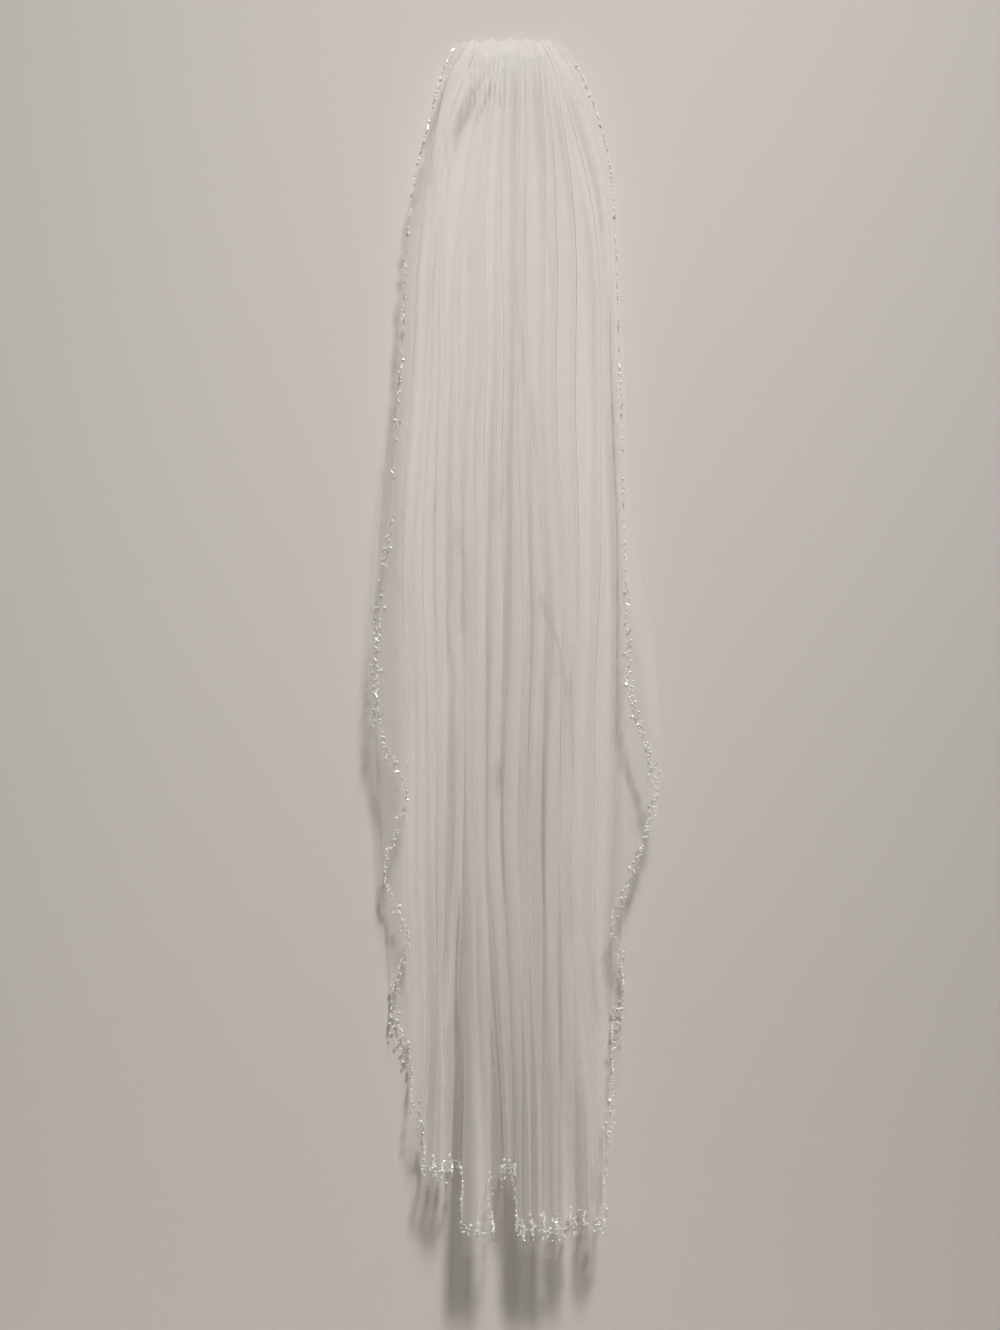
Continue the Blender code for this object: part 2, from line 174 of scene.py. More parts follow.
# soft waves that the whole stack of cloth follows, so layers never cut each other.
# millimetres: size at the comb and lower down, wavelength, drift down, phase.
# sways move cloth sideways as it goes deeper, and also have a drift across before the drift down
sways = (
    (1.4, 5.0, 66.0, 400.0, 1700.0, 0.4),
    (0.6, 2.2, 31.0, 160.0, 1150.0, 2.1),
)
# wanders do so across the width, and ripples move it in depth
wanders = (
    (0.5, 2.6, 71.0, 1500.0, 0.9),
    (0.3, 1.2, 33.0, 980.0, 2.2),
)
ripples = (
    (0.2, 0.9, 29.0, 900.0, 1.2),
    (0.3, 0.4, 11.6, 700.0, 3.4),
)
# the smallest gathers at the comb, and the uneven top edge
crimp = {"size": 0.0005, "wave": 0.0043, "fade": 0.055, "wander": 2.0, "wanderRate": 60}
ruffle = {
    "size": 0.0013, "rate": 410, "start": 1.0, "second": 0.7, "secondRate": 930, "depthRate": 300,
    "fade": 0.012,
}

# places where a bundle of folds slides sideways, in millimetres:
# x, drop, reach across and down, shift
slides = (
    (-40, 60, 16, 50, -5.0),
    (40, 480, 22, 75, 6.5),
    (-70, 420, 16, 80, -4.5),
    (-46, 790, 18, 60, -5.0),
    (24, 340, 14, 60, 3.5),
    (-10, 250, 20, 90, 3.0),
    (60, 690, 18, 80, -4.0),
    (5, 620, 18, 90, -3.5),
    (60, 150, 18, 90, 3.0),
)

# how the waves above and the creases below act on the cloth
soft = {
    "opens": (0.0, 0.16),         # drop over which waves grow to their lower size
    "front": (0.003, 0.014),      # distance from the wall over which cloth gets free to sway,
    "creased": (0.008, 0.030),    # and to crease
    "calmSides": 0.8,             # the sides and the hem sway less
    "sides": (0.072, 0.100),
    "calmHem": 0.6,
    "hem": (0.72, 0.95),
    "swayTurns": (1.3, 3),        # how the phase of each kind of wave wanders
    "wanderTurns": (1.2, 2),
    "rippleTurns": (1.6, 2),
    "patchMean": 0.65,            # ripples come and go in patches
    "patchSwing": 0.35,
    "patchDown": 0.7,
    "patchAcross": 61,
    "creaseShare": 0.6,
    "creaseStarts": (-0.25, 0.3),     # a crease tapers at both ends and bends a little
    "creaseEnds": (0.7, 1.25),
    "creaseBend": 0.0015,
    "creaseBendRate": 4.0,
    # painted shade: the cloth's colour is darkened along each furrow, fully at this push and
    # rising with this power
    "deepest": 9.0,
    "shadePower": 1.5,
    "shadeLineShare": 0.55,             # half width of the painted shade line along a furrow, as a share of the furrow's
}

# creases that show on this veil, from one end to the other, in millimetres:
# x and drop of both ends, half width, push towards the front (minus is a furrow)
# each furrow is pushed into the cloth and also gets painted shade in the cloth's colour
creases = (
    (-20, 30, -37, 73, 2.4, -8.0),
    (-24, 34, -34, 62, 1.6, -5.0),
    (-15, 39, -22, 70, 2.2, -7.0),
    (-27, 50, -36, 84, 5.5, -9.0),
    (-31, 66, -39, 98, 3.6, -6.0),
    (-45, 84, -43, 108, 3.0, -5.0),
    (-62, 95, -65, 140, 3.4, -5.5),
    (-58, 150, -68, 255, 2.6, -4.0),
    (-31, 150, -30, 205, 2.0, -3.5),
    (39, 152, 43, 224, 2.2, -4.0),
    (12, 184, 5, 224, 2.0, -3.5),
    (10, 240, 14, 284, 2.0, -4.0),
    (35, 246, 28, 284, 2.0, -4.0),
    (17, 298, 19, 362, 2.0, -5.0),
    (29, 298, 31, 338, 2.0, -4.0),
    (28, 312, 26, 330, 5.0, 4.0),
    (-58, 358, -60, 410, 2.2, -4.0),
    (-85, 380, -98, 440, 3.2, -5.0),
    (-97, 438, -83, 476, 3.6, -5.0),
    (-8, 370, -6, 402, 2.2, -4.0),
    (-41, 414, -36, 492, 4.0, -6.0),
    (24, 440, 55, 518, 3.4, 6.0),
    (20, 462, 47, 545, 3.2, -6.0),
    (48, 508, 59, 628, 2.6, -4.5),
    (-54, 476, -48, 620, 2.4, -4.5),
    (-9, 600, -8, 628, 4.4, -6.0),
    (21, 510, 22, 620, 6.0, 4.0),
    (-80, 510, -87, 640, 2.6, -4.0),
    (-33, 740, -54, 802, 3.0, 6.0),
    (-42, 764, -46, 818, 4.6, -7.0),
    (52, 684, 50, 756, 2.4, -4.0),
    (39, 724, 36, 800, 2.4, -4.0),
    (76, 762, 73, 818, 3.0, -5.0),
    (-66, 860, -70, 902, 2.2, -5.0),
    (-12, 880, -5, 975, 2.2, -5.0),
    (33, 815, 42, 945, 2.2, -5.0),
    (55, 878, 58, 968, 3.4, -6.0),
)


def smoothColumn(rows, column, position):
    table = np.array(rows, float)
    xs = table[:, 0]
    ys = table[:, column]
    slopes = np.gradient(ys, xs)
    position = np.clip(position, xs[0], xs[-1])
    span = np.clip(np.searchsorted(xs, position, side="right") - 1, 0, len(xs) - 2)
    width = xs[span + 1] - xs[span]
    t = (position - xs[span]) / width
    start = (1 + 2 * t) * (1 - t) ** 2 * ys[span] + t * (1 - t) ** 2 * width * slopes[span]
    end = t * t * (3 - 2 * t) * ys[span + 1] + t * t * (t - 1) * width * slopes[span + 1]
    return start + end


def sectionAt(drop):
    return {
        name: float(smoothColumn(sections, column, drop * 1000.0)) / 1000.0
        for column, name in enumerate(sectionNames)
    }


def ease(value, start, end):
    share = np.clip((value - start) / (end - start), 0.0, 1.0)
    return share * share * (3 - 2 * share)


def foldAt(index, drop):
    row = {name: value / 1000 for name, value in zip(foldNames, folds[index])}
    opened = ease(drop, 0.0, veil["midDrop"])
    lowered = ease(drop, veil["lowerDrop"], veil["hemDrop"])
    values = {}
    for name in ("middle", "width", "reach", "valley"):
        own = row[name] * (1 - lowered) + row[name + "Hem"] * lowered
        values[name] = row[name + "Top"] * (1 - opened) + own * opened
    return values


def closedAt(index, drop):
    # how far the furrow after this fold has closed up at the front
    bias = closing["top"] + (closing["low"] - closing["top"]) * ease(drop, *closing["lowers"])
    wave = math.sin(math.tau * (drop / closeWaves[index] + closeStarts[index]))
    lowered = ease(drop, *closing["fades"])
    shut = ease(wave + bias, *closing["shuts"]) * (1 - lowered)
    return float(shut + folds[index][-1] / 1000 * lowered)


def arc(x, y, radius, start, end, flattened=1.0):
    points = []
    for step in range(veil["arcSteps"] + 1):
        angle = math.radians(start + (end - start) * step / veil["arcSteps"])
        points.append((x + radius * flattened * math.cos(angle), y + radius * math.sin(angle)))
    return points


def runTo(points, target, steps):
    # straight stretch of cloth from the last point up to, but without, the target
    x, y = points[-1]
    for step in range(1, steps):
        share = step / steps
        points.append((x + (target[0] - x) * share, y + (target[1] - y) * share))


def cascade(rows, outline, tuck, body, corner, forward):
    # loose cloth on the left of the body, from the raw edge in front to the bend into the body
    inner = body - veil["turnGap"]
    points = []
    x = outline
    for index, (turn, reach) in enumerate(rows):
        last = index == len(rows) - 1
        goingIn = index % 2 == 0
        reference = outline if goingIn else tuck
        extreme = reference + (inner - reference) * turn
        y = forward(extreme, reach)
        if last:
            end = body - corner
            y = forward(end, reach)
        else:
            radius = (forward(extreme, rows[index + 1][1]) - y) / 2
            flattened = min(1.0, veil["turnShare"] * (inner - reference) / radius)
            end = extreme - radius * flattened if goingIn else extreme + radius * flattened
        if index == 0:
            back = forward(extreme, reach - veil["edgeCurl"])
            for step in range(veil["layerSteps"]):
                share = step / veil["layerSteps"]
                lifted = max(0.0, 1 - veil["curlRate"] * share) ** 2
                points.append((x + (end - x) * share, y + (back - y) * lifted))
        else:
            runTo(points, (end, y), veil["layerSteps"])
        if last:
            points += arc(end, y - corner, corner, 90, 0)
        elif goingIn:
            points += arc(end, y + radius, radius, -90, 90, flattened)
        else:
            points += arc(end, y + radius, radius, 270, 90, flattened)
        x = end
    return points


def sectionPoints(drop, closes=1.0):
    section = sectionAt(drop)
    bodyLeft = section["bodyLeft"]
    bodyWidth = section["bodyRight"] - bodyLeft
    depth = section["fore"] - section["deep"]
    half = max(section["outerRight"], -section["outerLeft"])
    drawn = veil["sideFall"] * ease(drop, 0.0, veil["midDrop"])

    def forward(x, reach):
        fall = 1.0 - drawn * min(1.0, abs(x) / half) ** veil["sideFallPower"]
        return -(section["deep"] + depth * reach * fall)

    places = [foldAt(index, drop) for index in range(len(folds))]
    shut = [closes * closedAt(index, drop) for index in range(len(folds) - 1)]
    beside = [(before + after) / 2 for before, after in zip(shut[:1] + shut, shut + shut[-1:])]
    reaches = np.array([fold["reach"] for fold in places])
    evened = np.convolve(np.pad(reaches, 1, mode="edge"), np.ones(3) / 3, mode="valid")
    overhang = veil["faceOverhang"] * bodyWidth * ease(drop, 0.0, veil["midDrop"])
    spans = []
    for fold in places:
        middle = bodyLeft + bodyWidth * fold["middle"]
        halfWidth = (bodyWidth * fold["width"] * veil["faceWiden"] + overhang) / 2
        spans.append([middle - halfWidth, middle + halfWidth])
    for before, after, closed in zip(spans, spans[1:], shut):
        slit = after[0] - before[1]
        wanted = max(slit, veil["openSlit"]) * (1 - closed) + veil["shutSlit"] * closed
        before[1] -= (wanted - slit) / 2
        after[0] += (wanted - slit) / 2

    corner = (spans[0][1] - spans[0][0]) / 2
    outline = section["outerLeft"]
    points = cascade(leftCascade, outline, outline, spans[0][0], corner, forward)
    for index, fold in enumerate(places):
        left, right = spans[index]
        radius = (right - left) / 2
        reach = fold["reach"] + (evened[index] - fold["reach"]) * beside[index]
        crest = forward(left + radius, reach)
        flat = veil["faceFlat"] + (veil["shutFlat"] - veil["faceFlat"]) * beside[index]
        face = arc(left + radius, crest + radius * flat, radius * flat, 180, 360, 1 / flat)
        runTo(points, face[0], veil["legSteps"])
        points += face
        if index == len(folds) - 1:
            continue
        left = right - overhang
        right = spans[index + 1][0] + overhang
        radius = (right - left) / 2
        furrow = forward(left + radius, fold["valley"])
        valley = arc(left + radius, furrow - radius, radius, 180, 0)
        runTo(points, valley[0], veil["legSteps"])
        points += valley
    mirrored = cascade(
        rightCascade, -section["outerRight"], -section["tuckRight"], -spans[-1][1],
        (spans[-1][1] - spans[-1][0]) / 2, lambda x, reach: forward(-x, reach),
    )
    other = [(-x, y) for x, y in reversed(mirrored)]
    runTo(points, other[0], veil["legSteps"])
    return np.array(points + other)


def cutLengthAt(distance, side):
    # the length of the cut at a distance from its left or right edge
    inside = np.clip(1.0 - distance / veil["corner" + side], 0.0, 1.0)
    taken = veil["cutLength"] - veil["side" + side]
    return veil["cutLength"] - taken * inside ** veil["round" + side]


def hang():
    # rows and columns of points, each column a straight thread of the cut cloth
    reference = sectionPoints(veil["referenceDrop"], 0.0)
    steps = np.linalg.norm(np.diff(reference, axis=0), axis=1)
    across = np.concatenate(([0.0], np.cumsum(steps)))
    lengths = np.minimum(cutLengthAt(across, "Left"), cutLengthAt(across[-1] - across, "Right"))
    for name in ("lift", "notch"):
        grown = ease(across, *veil[name + "Grows"])
        lengths -= veil[name] * grown * (1 - ease(across, *veil[name + "Fades"]))
    broad, short = (np.sin(math.tau * across / wave + start) for wave, start in veil["hemWaves"])
    uneven = np.maximum(1 - broad - veil["hemShort"] * short, 0)
    lengths -= veil["hemWave"] * uneven * ease(across, *veil["hemGrows"])
    drops = np.linspace(0.0, veil["cutLength"], veil["levels"])
    levels = np.array([sectionPoints(drop) for drop in drops])
    shares = np.linspace(0.0, 1.0, veil["rows"]) ** veil["rowPower"]
    drop = shares[:, None] * lengths[None, :]
    place = np.clip(drop / veil["cutLength"] * (veil["levels"] - 1), 0, veil["levels"] - 1.001)
    low = place.astype(int)
    part = (place - low)[..., None]
    columns = np.arange(len(across))[None, :]
    flat = levels[low, columns] * (1 - part) + levels[low + 1, columns] * part
    surface = np.dstack((flat, veil["gatherTop"] - drop))
    return surface, across, lengths, shares


def soften(surface, combHalf):
    # the even sections get the sways, ripples, gathers and creases of soft cloth, and painted
    # shade along the furrows
    x, y, z = (surface[..., axis].copy() for axis in range(3))
    drop = veil["gatherTop"] - z
    opened = ease(drop, *soft["opens"])
    front = ease(-y, *soft["front"])
    inside = 1 - soft["calmSides"] * ease(np.abs(x), *soft["sides"])
    inside *= 1 - soft["calmHem"] * ease(drop, *soft["hem"])

    def wave(angle, top, low, down, phase, turns):
        # the size of a wave, and its swing, whose phase wanders on the way down
        turn = phase + turns[0] * np.sin(math.tau * drop * 1000 / down + turns[1] * phase)
        return (top + (low - top) * opened) / 1000, np.sin(angle + turn)

    shifted = x.copy()
    for top, low, length, drift, down, phase in sways:
        angle = math.tau * (y * 1000 / length + x * 1000 / drift)
        size, swing = wave(angle, top, low, down, phase, soft["swayTurns"])
        shifted += size * front * inside * swing
    for top, low, length, down, phase in wanders:
        angle = math.tau * x * 1000 / length
        size, swing = wave(angle, top, low, down, phase, soft["wanderTurns"])
        shifted += size * inside * swing
    for xAt, dropAt, acrossBy, downBy, shift in slides:
        near = ((x * 1000 - xAt) / acrossBy) ** 2 + ((drop * 1000 - dropAt) / downBy) ** 2
        shifted += shift / 1000 * inside * np.exp(-near)

    pushed = y.copy()
    for top, low, length, down, phase in ripples:
        angle = math.tau * x * 1000 / length
        size, swing = wave(angle, top, low, down, phase, soft["rippleTurns"])
        patches = drop * 1000 / (down * soft["patchDown"]) + x * 1000 / soft["patchAcross"]
        fading = soft["patchMean"] + soft["patchSwing"] * np.sin(math.tau * patches + phase)
        pushed += size * front * fading * swing
    gather = crimp["size"] * np.exp(-drop / crimp["fade"]) * front
    wander = crimp["wander"] * np.sin(drop * crimp["wanderRate"])
    pushed += gather * np.sin(math.tau * x / crimp["wave"] + wander)

    nearFront = ease(-y, *soft["creased"])
    # painted shade: how much darker the cloth's colour is made along each furrow, standing in for
    # the shade inside it
    paintedCreaseShade = np.zeros_like(x)
    for x0, d0, x1, d1, halfWidth, push in creases:
        start = np.array((x0, d0)) / 1000
        run = np.array((x1, d1)) / 1000 - start
        length = math.hypot(*run)
        way = run / length
        offX, offD = x - start[0], drop - start[1]
        along = (offX * way[0] + offD * way[1]) / length
        bend = soft["creaseBend"] * np.sin(soft["creaseBendRate"] * along + x0)
        beside = offX * way[1] - offD * way[0] + bend
        taper = ease(along, *soft["creaseStarts"]) * (1 - ease(along, *soft["creaseEnds"]))
        furrow = soft["creaseShare"] * push / 1000 * taper * nearFront
        pushed -= furrow * np.exp(-(beside / (halfWidth / 1000)) ** 2)
        if push < 0:
            line = np.exp(-(beside / (soft["shadeLineShare"] * halfWidth / 1000)) ** 2)
            depth = (-push / soft["deepest"]) ** soft["shadePower"]
            paintedCreaseShade = np.maximum(paintedCreaseShade, depth * taper * nearFront * line)

    bowed = veil["bow"] * (np.minimum(np.abs(x), combHalf) / combHalf) ** 2
    pushed += bowed * np.exp(-((drop / veil["bowFade"]) ** 2))
    uneven = np.sin(x * ruffle["rate"] + ruffle["start"])
    uneven += ruffle["second"] * np.sin(x * ruffle["secondRate"] + y * ruffle["depthRate"])
    lifted = z + ruffle["size"] * uneven * np.exp(-drop / ruffle["fade"])
    return np.dstack((shifted, pushed, lifted)), paintedCreaseShade


def looseOf(across):
    # 1 in the loose layers beside the body, 0 in the body
    before, after = veil["looseFades"]
    left = 1 - ease(across, veil["cascadeLeft"] - before, veil["cascadeLeft"] + after)
    right = across[-1] - veil["cascadeRight"]
    return left + ease(across, right - after, right + before)


def fullnessOf(surface, across):
    # how much cloth lies at each place, against one flat layer
    widths = np.linalg.norm(np.diff(surface, axis=1), axis=2).sum(axis=1)
    drop = veil["gatherTop"] - surface[..., 2]
    full = np.repeat(((widths.max() / widths) ** veil["bunching"])[:, None], len(across), axis=1)
    loose = looseOf(across)[None, :]
    run = np.gradient(surface, axis=1)
    lowered = ease(drop, *veil["turnedFades"])
    ends = zip(veil["turnedTop"], veil["turnedLow"])
    square = np.abs(run[..., 0]) / np.linalg.norm(run[..., :2], axis=-1)
    facing = ease(square, *(top + (low - top) * lowered for top, low in ends))
    side = veil["legFullness"] + (veil["faceFullness"] - veil["legFullness"]) * facing
    side = side * (1 - loose) + veil["looseFullness"] * loose
    side = side * (1 + (veil["topFullness"] - 1) * (1 - ease(drop, *veil["topFades"])))
    inner = ease(surface[..., 2] - surface[-1:, :, 2], *veil["marginFades"])
    side = side * (veil["marginFullness"] + (1 - veil["marginFullness"]) * inner)
    return full * side * (1 - veil["sheerTop"] * loose * (1 - ease(drop, *veil["sheerFades"])))


def unit(vectors):
    return vectors / np.maximum(np.linalg.norm(vectors, axis=-1, keepdims=True), 1e-9)


def surfaceNormals(surface):
    # towards the cloth's outer face, the one that the foremost cloth shows
    return unit(np.cross(np.gradient(surface, axis=0), np.gradient(surface, axis=1)))


def scatterNormals(surface):
    # the way the net faces for shading: mostly straight out of the wall, whatever its slope
    own = surfaceNormals(surface)
    side = np.clip(-own[..., 1] / veil["turnsOver"], -1, 1)
    even = np.zeros_like(own)
    even[..., 1] = -side
    even[..., 2] = veil["tipsUp"] * np.abs(side)
    return unit(own * (1 - veil["evenLight"]) + even * veil["evenLight"])


def linked(name, data):
    item = bpy.data.objects.new(name, data)
    scene.collection.objects.link(item)
    return item


def meshObject(name, vertices, faces=(), edges=(), material=None):
    data = bpy.data.meshes.new(name)
    data.from_pydata([tuple(v) for v in vertices], list(edges), list(faces))
    data.update()
    if material:
        data.materials.append(material)
    return linked(name, data)


def store(item, label, kind, values):
    field = "vector" if kind == "FLOAT_VECTOR" else "value"
    item.data.attributes.new(label, kind, "POINT").data.foreach_set(field, values.ravel())


def tulleMesh(surface, across, shares, fullness, paintedCreaseShade):
    rows, columns = surface.shape[:2]
    faces = []
    for r in range(rows - 1):
        for c in range(columns - 1):
            corner = r * columns + c
            faces.append((corner, corner + columns, corner + columns + 1, corner + 1))
    item = meshObject("tulle_veil", surface.reshape(-1, 3), faces)
    item.data.shade_smooth()
    item.data.normals_split_custom_set_from_vertices(scatterNormals(surface).reshape(-1, 3))
    layer = item.data.uv_layers.new(name="cut")
    loops = np.zeros(len(item.data.loops), int)
    item.data.loops.foreach_get("vertex_index", loops)
    u = (across / across[-1])[loops % columns]
    v = 1.0 - shares[loops // columns]
    layer.data.foreach_set("uv", np.column_stack((u, v)).ravel())
    store(item, "fullness", "FLOAT", fullness)
    # painted shade along the furrows, which the tulle's colour reads
    store(item, "painted_crease_shade", "FLOAT", paintedCreaseShade)
    store(item, "loose", "FLOAT", np.tile(looseOf(across), (rows, 1)))
    return item


# small helpers for node trees
class Nodes:
    # a node tree with short ways to add and join nodes
    def __init__(self, tree):
        self.tree = tree

    def socket(self, label, kind, side):
        self.tree.interface.new_socket(label, in_out=side, socket_type="NodeSocket" + kind)

    def feed(self, node, **inputs):
        # a value or link for each input, by number as in _0 or by name with _ for a space
        for name, value in inputs.items():
            socket = node.inputs[int(name[1:]) if name[0] == "_" else name.replace("_", " ")]
            if isinstance(value, bpy.types.NodeSocket):
                self.tree.links.new(value, socket)
            else:
                socket.default_value = value

    def add(self, kind, settings=None, **inputs):
        node = self.tree.nodes.new(kind)
        for name, value in (settings or {}).items():
            setattr(node, name, value)
        self.feed(node, **inputs)
        return node

    def math(self, operation, first, second=0.0, clamp=False):
        settings = {"operation": operation, "use_clamp": clamp}
        return self.add("ShaderNodeMath", settings, _0=first, _1=second).outputs[0]

    def vector(self, operation, first, second):
        settings = {"operation": operation}
        return self.add("ShaderNodeVectorMath", settings, _0=first, _1=second).outputs

    def fit(self, value, low, high, toLow, toHigh, smooth=False):
        kind = {"interpolation_type": "SMOOTHSTEP" if smooth else "LINEAR"}
        node = self.add("ShaderNodeMapRange", kind, _0=value, _1=low, _2=high, _3=toLow, _4=toHigh)
        return node.outputs[0]

    def varied(self, cloud, low, high):
        # from low to high over the usual range of a mottled cloud
        return self.fit(cloud, 0.3, 0.7, low, high)

    def blend(self, share, first, second):
        colours = {"_6": colour(first), "_7": colour(second)}
        return self.add("ShaderNodeMix", {"data_type": "RGBA"}, Factor=share, **colours).outputs[2]

    def attribute(self, name):
        return self.add("ShaderNodeAttribute", {"attribute_name": name}).outputs["Fac"]

    def place(self):
        return self.add("ShaderNodeTexCoord").outputs["Object"]

    def bump(self, height, strength, distance):
        node = self.add("ShaderNodeBump", Strength=strength, Distance=distance, Height=height)
        return node.outputs[0]


def colour(shade):
    return shade if isinstance(shade, bpy.types.NodeSocket) else (*shade, 1.0)


def newMaterial(name):
    material = bpy.data.materials.new(name)
    material.use_nodes = True
    return material, Nodes(material.node_tree), material.node_tree.nodes["Principled BSDF"]


def buildMottle():
    # soft uneven patches: a value round 0.5
    group = bpy.data.node_groups.new("mottle", "ShaderNodeTree")
    nodes = Nodes(group)
    for label, kind in (("Vector", "Vector"), ("Scale", "Float"), ("Stretch", "Vector")):
        nodes.socket(label, kind, "INPUT")
    nodes.socket("Value", "Float", "OUTPUT")
    into = nodes.add("NodeGroupInput").outputs
    stretched = nodes.vector("MULTIPLY", into[0], into[2])[0]
    noise = nodes.add("ShaderNodeTexNoise", Vector=stretched, Scale=into[1], Detail=3.0)
    nodes.add("NodeGroupOutput", _0=noise.outputs[0])
    return group


mottle = buildMottle()


def mottled(nodes, vector, scale, stretch=(1.0, 1.0, 1.0)):
    node = nodes.add("ShaderNodeGroup")
    node.node_tree = mottle
    nodes.feed(node, _0=vector, _1=scale, _2=stretch)
    return node.outputs[0]


tulleLook = {
    "cell": 0.0011,          # from thread to thread of the net
    "ways": (0, 60, 120),    # degrees between its threads
    "threadShare": 0.34,
    "holeAlpha": 0.165,
    "threadAlpha": 0.265,
    "cloud": 5.0,
    "cloudStretch": (1.0, 0.35, 1.0),
    "uneven": (0.94, 1.08),
    "light": (0.785, 0.75, 0.722),
    "warm": (0.76, 0.722, 0.692),
    "warmFrom": (0.35, 0.65),
    # painted shade: how much darker the warm colour is made in the furrows
    "paintedShadeDarkness": 0.55,
    "shadeNear": 0.34,       # light that the net scatters still reaches what lies close behind it,
    "shadeFar": 3.6,         # and is lost further off
    "nearTo": (0.062, 0.100),
    "shadeLoose": 0.9,       # the single loose layers shade the wall right behind them
    "roughness": (0.75, 0.5),
    "finish": {"Specular_IOR_Level": 0.3, "Sheen_Weight": 0.04, "Sheen_Roughness": 0.5},
}


def tulleMaterial(cutWidth):
    look = tulleLook
    material, nodes, shader = newMaterial("ivory_tulle_net")
    uv = nodes.add("ShaderNodeUVMap", {"uv_map": "cut"}).outputs[0]
    cut = nodes.vector("MULTIPLY", uv, (cutWidth, veil["cutLength"], 1.0))[0]
    threads = None
    for degrees in look["ways"]:
        way = (math.cos(math.radians(degrees)), math.sin(math.radians(degrees)), 0.0)
        along = nodes.vector("DOT_PRODUCT", cut, way)["Value"]
        turns = nodes.math("MULTIPLY", along, math.pi / look["cell"])
        wave = nodes.math("ABSOLUTE", nodes.math("SINE", turns))
        line = nodes.fit(wave, 0.0, look["threadShare"] * 2, 1.0, 0.0, smooth=True)
        threads = line if threads is None else nodes.math("MAXIMUM", threads, line)
    cloud = mottled(nodes, cut, look["cloud"], look["cloudStretch"])
    alpha = nodes.fit(threads, 0.0, 1.0, look["holeAlpha"], look["threadAlpha"])
    alpha = nodes.math("MULTIPLY", alpha, nodes.varied(cloud, *look["uneven"]))
    through = nodes.math("SUBTRACT", 1.0, alpha, clamp=True)
    seen = nodes.math("POWER", through, nodes.attribute("fullness"))
    alpha = nodes.math("SUBTRACT", 1.0, seen, clamp=True)
    path = nodes.add("ShaderNodeLightPath").outputs
    shade = nodes.fit(path["Ray Length"], *look["nearTo"], look["shadeNear"], look["shadeFar"])
    shade = nodes.fit(nodes.attribute("loose"), 0.0, 1.0, shade, look["shadeLoose"])
    kept = nodes.fit(path["Is Shadow Ray"], 0.0, 1.0, 1.0, shade)
    tint = nodes.blend(nodes.fit(cloud, *look["warmFrom"], 0.0, 1.0), look["light"], look["warm"])
    # painted shade: the colour goes to a darkened warm where the furrows lie
    deep = tuple(part * (1 - look["paintedShadeDarkness"]) for part in look["warm"])
    nodes.feed(
        shader, Alpha=nodes.math("MULTIPLY", alpha, kept, clamp=True),
        Base_Color=nodes.blend(nodes.attribute("painted_crease_shade"), tint, deep),
        Roughness=nodes.fit(threads, 0.0, 1.0, *look["roughness"]), **look["finish"],
    )
    return material


print("veil: hanging the tulle")
combLow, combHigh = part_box("veil_comb")
combHalf = combHigh.x
straight, across, lengths, shares = hang()
surface, paintedCreaseShade = soften(straight, combHalf)
normals = surfaceNormals(surface)
tulle = tulleMesh(surface, across, shares, fullnessOf(surface, across), paintedCreaseShade)
tulle.data.materials.append(tulleMaterial(across[-1]))
meshArea = sum(p.area for p in tulle.data.polygons)
print("veil: columns", len(across), "faces", len(tulle.data.polygons),
      "area", round(meshArea, 3), "reference width", round(float(across[-1]), 3))


# beads along the edge
beads = {
    "start": 0.004,           # drop where the sewn line begins and ends
    "marginHem": 0.020,       # how far inside the raw edge they are sewn
    "hemFades": (0.74, 0.80),
    "step": 0.001,
    "smoothing": 25,          # steps over which the sewn line is evened
    "inset": (0.001, 0.003),  # nothing is sewn closer to the side and top edges
    "motif": 0.0086,          # length of one spray
    "uneven": 0.0012,
    "crystalEvery": 3,
    "tall": (1.0, 2.3),
    "tallBeside": (0.45, 1.0),   # the straight sides turn away, so their band looks narrow
    "sides": (0.62, 0.86),       # drop where one becomes the other
    "jitter": 0.0009,
    "skip": 0.22,
    "lift": 0.0006,
    "seed": 7,
    "grown": {
        "Bugle Length": 0.0031, "Bugle Radius": 0.00070, "Bead Radius": 0.00090,
        "Crystal Radius": 0.00145, "Spread": 0.16, "Seed": 7,
    },
    "bugleSides": 6,
    "beadSplits": 2,
    "crystalFacets": (8, 4),
    "twistSeed": 31.0,        # added to the seed above
    "tintSeed": 5.0,
    "cloud": 900.0,
    "roughness": (0.14, 0.30),
    "metalFrom": (0.52, 0.58),   # the tint from which a bead is lined with silver
    "metallic": (0.05, 0.6),
    "finish": {"Coat_Weight": 0.6, "Coat_Roughness": 0.06},
}

# glass colours over the range of tints
beadTints = (
    (0.0, (0.97, 0.97, 0.96)), (0.45, (0.96, 0.96, 0.94)), (0.62, (0.90, 0.95, 0.92)),
    (0.80, (0.95, 0.90, 0.92)), (1.0, (0.96, 0.93, 0.86)),
)

# the loose sides twist, which brings the sewn line nearer to the outline and hides part of its
# beads: drop and margin in millimetres, share of the beads that shows
leftEdge = (
    (0, 3, 0.50), (120, 4, 0.45), (180, 7, 0.25), (300, 12, 0.25), (390, 12, 0.15),
    (480, 6, 0.60), (560, 6, 0.75), (640, 13, 0.50), (760, 20, 0.80),
)
rightEdge = (
    (0, 10, 0.30), (300, 18, 0.30), (450, 24, 0.25), (540, 24, 0.80),
    (610, 7, 0.85), (690, 7, 0.75), (760, 16, 0.55), (800, 20, 0.80),
)

# one spray: kind 0 bugle, 1 round bead, 2 crystal, then both ends in millimetres along and inwards
spray = (
    (0, 0.0, -3.4, 1.7, -0.9),
    (0, 2.5, -0.9, 4.2, -3.4),
    (1, 2.1, 0.3, 2.7, 0.3),
    (0, 4.9, 0.2, 7.7, 1.1),
    (1, 8.3, 0.4, 8.9, 0.4),
    (1, 4.5, -4.2, 5.0, -4.2),
    (2, 2.1, 2.6, 2.7, 2.6),
)


